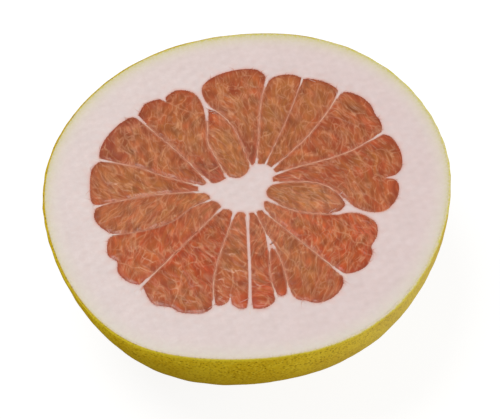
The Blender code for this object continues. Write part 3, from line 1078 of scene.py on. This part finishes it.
# %% Segments
RECESS = 0.24
PULP_DEPTH = 1.2
for index, (outline, tones, slants) in enumerate(zip(OUTLINES, SEGMENT_TONES, SLANTS), start=1):
    seed = 100 * index
    segment, points, gap = segment_grid(outline, f"segment_{index:02d}")
    flat = points[:, :2]
    flow = segment_flow(flat, outline, slants, index)
    give(segment, "flow", flow, "FLOAT_VECTOR")
    warp = np.stack((ripple(flat, 10, seed + 9), ripple(flat, 10, seed + 10)), axis=1)
    bent = flat + 0.45 * warp
    big, border, number = sac_cells(bent, outline, slants, seed + 3, (7, 14), (2.6, 4.8), 1.0)
    small, seam, grain = sac_cells(bent, outline, slants, seed + 4, (5, 9), (1.2, 2.2), 0.8)
    fibres = fibre_fans(flat, outline, slants, seed + 11)

    radius = np.hypot(*flat.T)
    share = ((radius - radius.min()) / np.ptp(radius))[:, None]
    tint = segment_ground(flat, flow, gap, share, tones, number, grain, seed)
    thread = segment_threads(flat, outline, border, seam, fibres, seed)
    tint = blend(tint, (226, 166, 126), 0.6 * thread[:, None])
    # Painted shade: the rind end of each segment is darkened, and the pale rim is faded there.
    rind_side = smooth_step(share, 0.8, 0.96)
    inside = np.maximum(gap, 0)[:, None]
    tint = blend(tint, (140, 56, 36), 0.55 * rind_side * np.exp(-inside / 0.9))
    tint = blend(tint, (205, 140, 112), 0.6 * (1 - 0.85 * rind_side) * np.exp(-(inside / 0.28) ** 2))
    give(segment, "tint", np.clip(tint, 0, 1), "FLOAT_COLOR")

    pillow = 0.10 * (1 - np.minimum(big, 1.2) ** 2) + 0.05 * number
    pillow += 0.03 * (1 - np.minimum(small, 1.2) ** 2) + 0.03 * thread
    points[:, 2] = HEIGHT - RECESS + (0.14 + pillow) * smooth_step(gap, 0, 1.6)
    place(segment, points)
    close_below(segment, PULP_DEPTH)
    finish_piece(segment, pulp_material)

# %% [markdown]
# ## The membranes
# A septum is a thin, pale, slightly see-through skin. Its cut edge stands a hair
# above the pulp on each side. Each is a curve along the middle line, given a round
# section that widens into the core and the pith, and all are joined into one piece.

# %% Membranes
def tube(name, line, radii, level, colour):
    """A closed round strand along a line; everything in mm, colours as on a screen."""
    curve = bpy.data.curves.new(name, "CURVE")
    curve.dimensions = "3D"
    curve.bevel_depth = MM
    curve.bevel_resolution = 2
    curve.use_fill_caps = True
    spline = curve.splines.new("POLY")
    spline.points.add(len(line) - 1)
    for point, (x, y), radius, z in zip(spline.points, line, radii, level):
        point.co = (x * MM, y * MM, z * MM, 1)
        point.radius = radius
    piece = bpy.data.objects.new(name, curve)
    bpy.context.scene.collection.objects.link(piece)
    select_only(piece)
    bpy.ops.object.convert(target="MESH")
    piece = bpy.context.object
    flat = positions(piece)[:, :2]
    owner = np.argmin(np.linalg.norm(flat[:, None] - line[None], axis=2), axis=1)
    give(piece, "tint", colour[owner], "FLOAT_COLOR")
    return piece


def join(pieces, name):
    """Joins pieces into one object with a new name."""
    bpy.ops.object.select_all(action="DESELECT")
    for piece in pieces:
        piece.select_set(True)
    bpy.context.view_layer.objects.active = pieces[0]
    bpy.ops.object.join()
    pieces[0].name = name
    return pieces[0]


# %% [markdown]
# ## Laying the septa
# The pink middle of a septum lies a little below the level of its white ends. One is
# thicker and creamier than the rest, and one has sunk so far that it hardly shows.

# %% Septa in place
THICK_SEPTUM = "13|14"
SUNKEN_SEPTUM = "10|11"
strands = []
for order, name in enumerate(SEPTA):
    line, across, width = septum_line(name)
    line = line + across * 0.08 * ripple(line, 3.0, 700 + order)[:, None]
    share = np.linspace(-1, 1, len(line))
    start = 1.05 if name in ("14|15", "15|16") else 1.5
    line = np.vstack((line[0] * start - line[4] * (start - 1), line, line[-1] * 1.5 - line[-5] * 0.5))
    share = np.concatenate(([-1], share, [1]))
    width = np.concatenate((width[:1], width, width[-1:]))
    thin = 0.32 if name == THICK_SEPTUM else 0.25
    radii = width * (thin + 0.32 * np.abs(share) ** 9) * (1 + 0.18 * ripple(line, 2.2, 730 + order))
    pith_share = (np.abs(share) ** 7 * 0.85)[:, None]
    pale = 1.0 if name == THICK_SEPTUM else 0.2 + 0.25 * ripple(line, 4, 760 + order)[:, None]
    body = blend(linear((206, 132, 102)), (228, 182, 152), pale)
    colour = blend(body, (224, 206, 200), pith_share)
    level = HEIGHT - radii + 0.02 - 0.10 * (1 - np.abs(share) ** 4)
    if name == SUNKEN_SEPTUM:
        sunk = smooth_step(share, -0.7, -0.4) * smooth_step(share, 1.0, 0.85)
        level -= 0.12 * sunk
        colour = blend(colour, (186, 108, 78), 0.85 * sunk[:, None])
    strands.append(tube(f"septum {name}", line, radii, level, np.clip(colour, 0, 1)))
membranes = join(strands, "membranes")
finish_piece(membranes, skin_material)

# %% [markdown]
# ## Fibres in the pith
# Fine pink vessels run out of the segments into the pith, and the knife pulls a few up.
# Here they are short tapering hairs at the segment ends, all of them lying flat.

# %% Fibres
rng = np.random.default_rng(5)
hairs = []
for order in range(96):
    outline = OUTLINES[rng.integers(len(OUTLINES))]
    reach_of = np.hypot(*outline.T)
    outer = np.flatnonzero(reach_of > reach_of.max() - 5)
    root = outline[rng.choice(outer)]
    heading = math.atan2(root[1], root[0]) + rng.normal(0, 0.7)
    length = rng.uniform(1.2, 4.2)
    share = np.linspace(0, 1, 7)
    turn = heading + rng.normal(0, 1.0) * share
    step = np.stack((np.cos(turn), np.sin(turn)), axis=1) * length / 6
    line = root + np.cumsum(step, axis=0) - 1.5 * step[:1]
    radii = 0.16 * (1 - 0.75 * share)
    level = np.full(len(share), HEIGHT - 0.06)
    colour = blend(linear((204, 128, 106)), (226, 204, 196), share[:, None])
    hairs.append(tube(f"hair {order}", line, radii, level, colour))
fibres = join(hairs, "pith_fibres")
finish_piece(fibres, skin_material)

# %% Sizes and finish
for piece in [o for o in bpy.data.objects if o.type == "MESH" and not o.get("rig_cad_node")]:
    low, high = positions(piece).min(0), positions(piece).max(0)
    if piece.name in ("rind", "pith", "membranes", "pith_fibres"):
        print(piece.name, "from", low.round(2), "to", high.round(2), "mm")
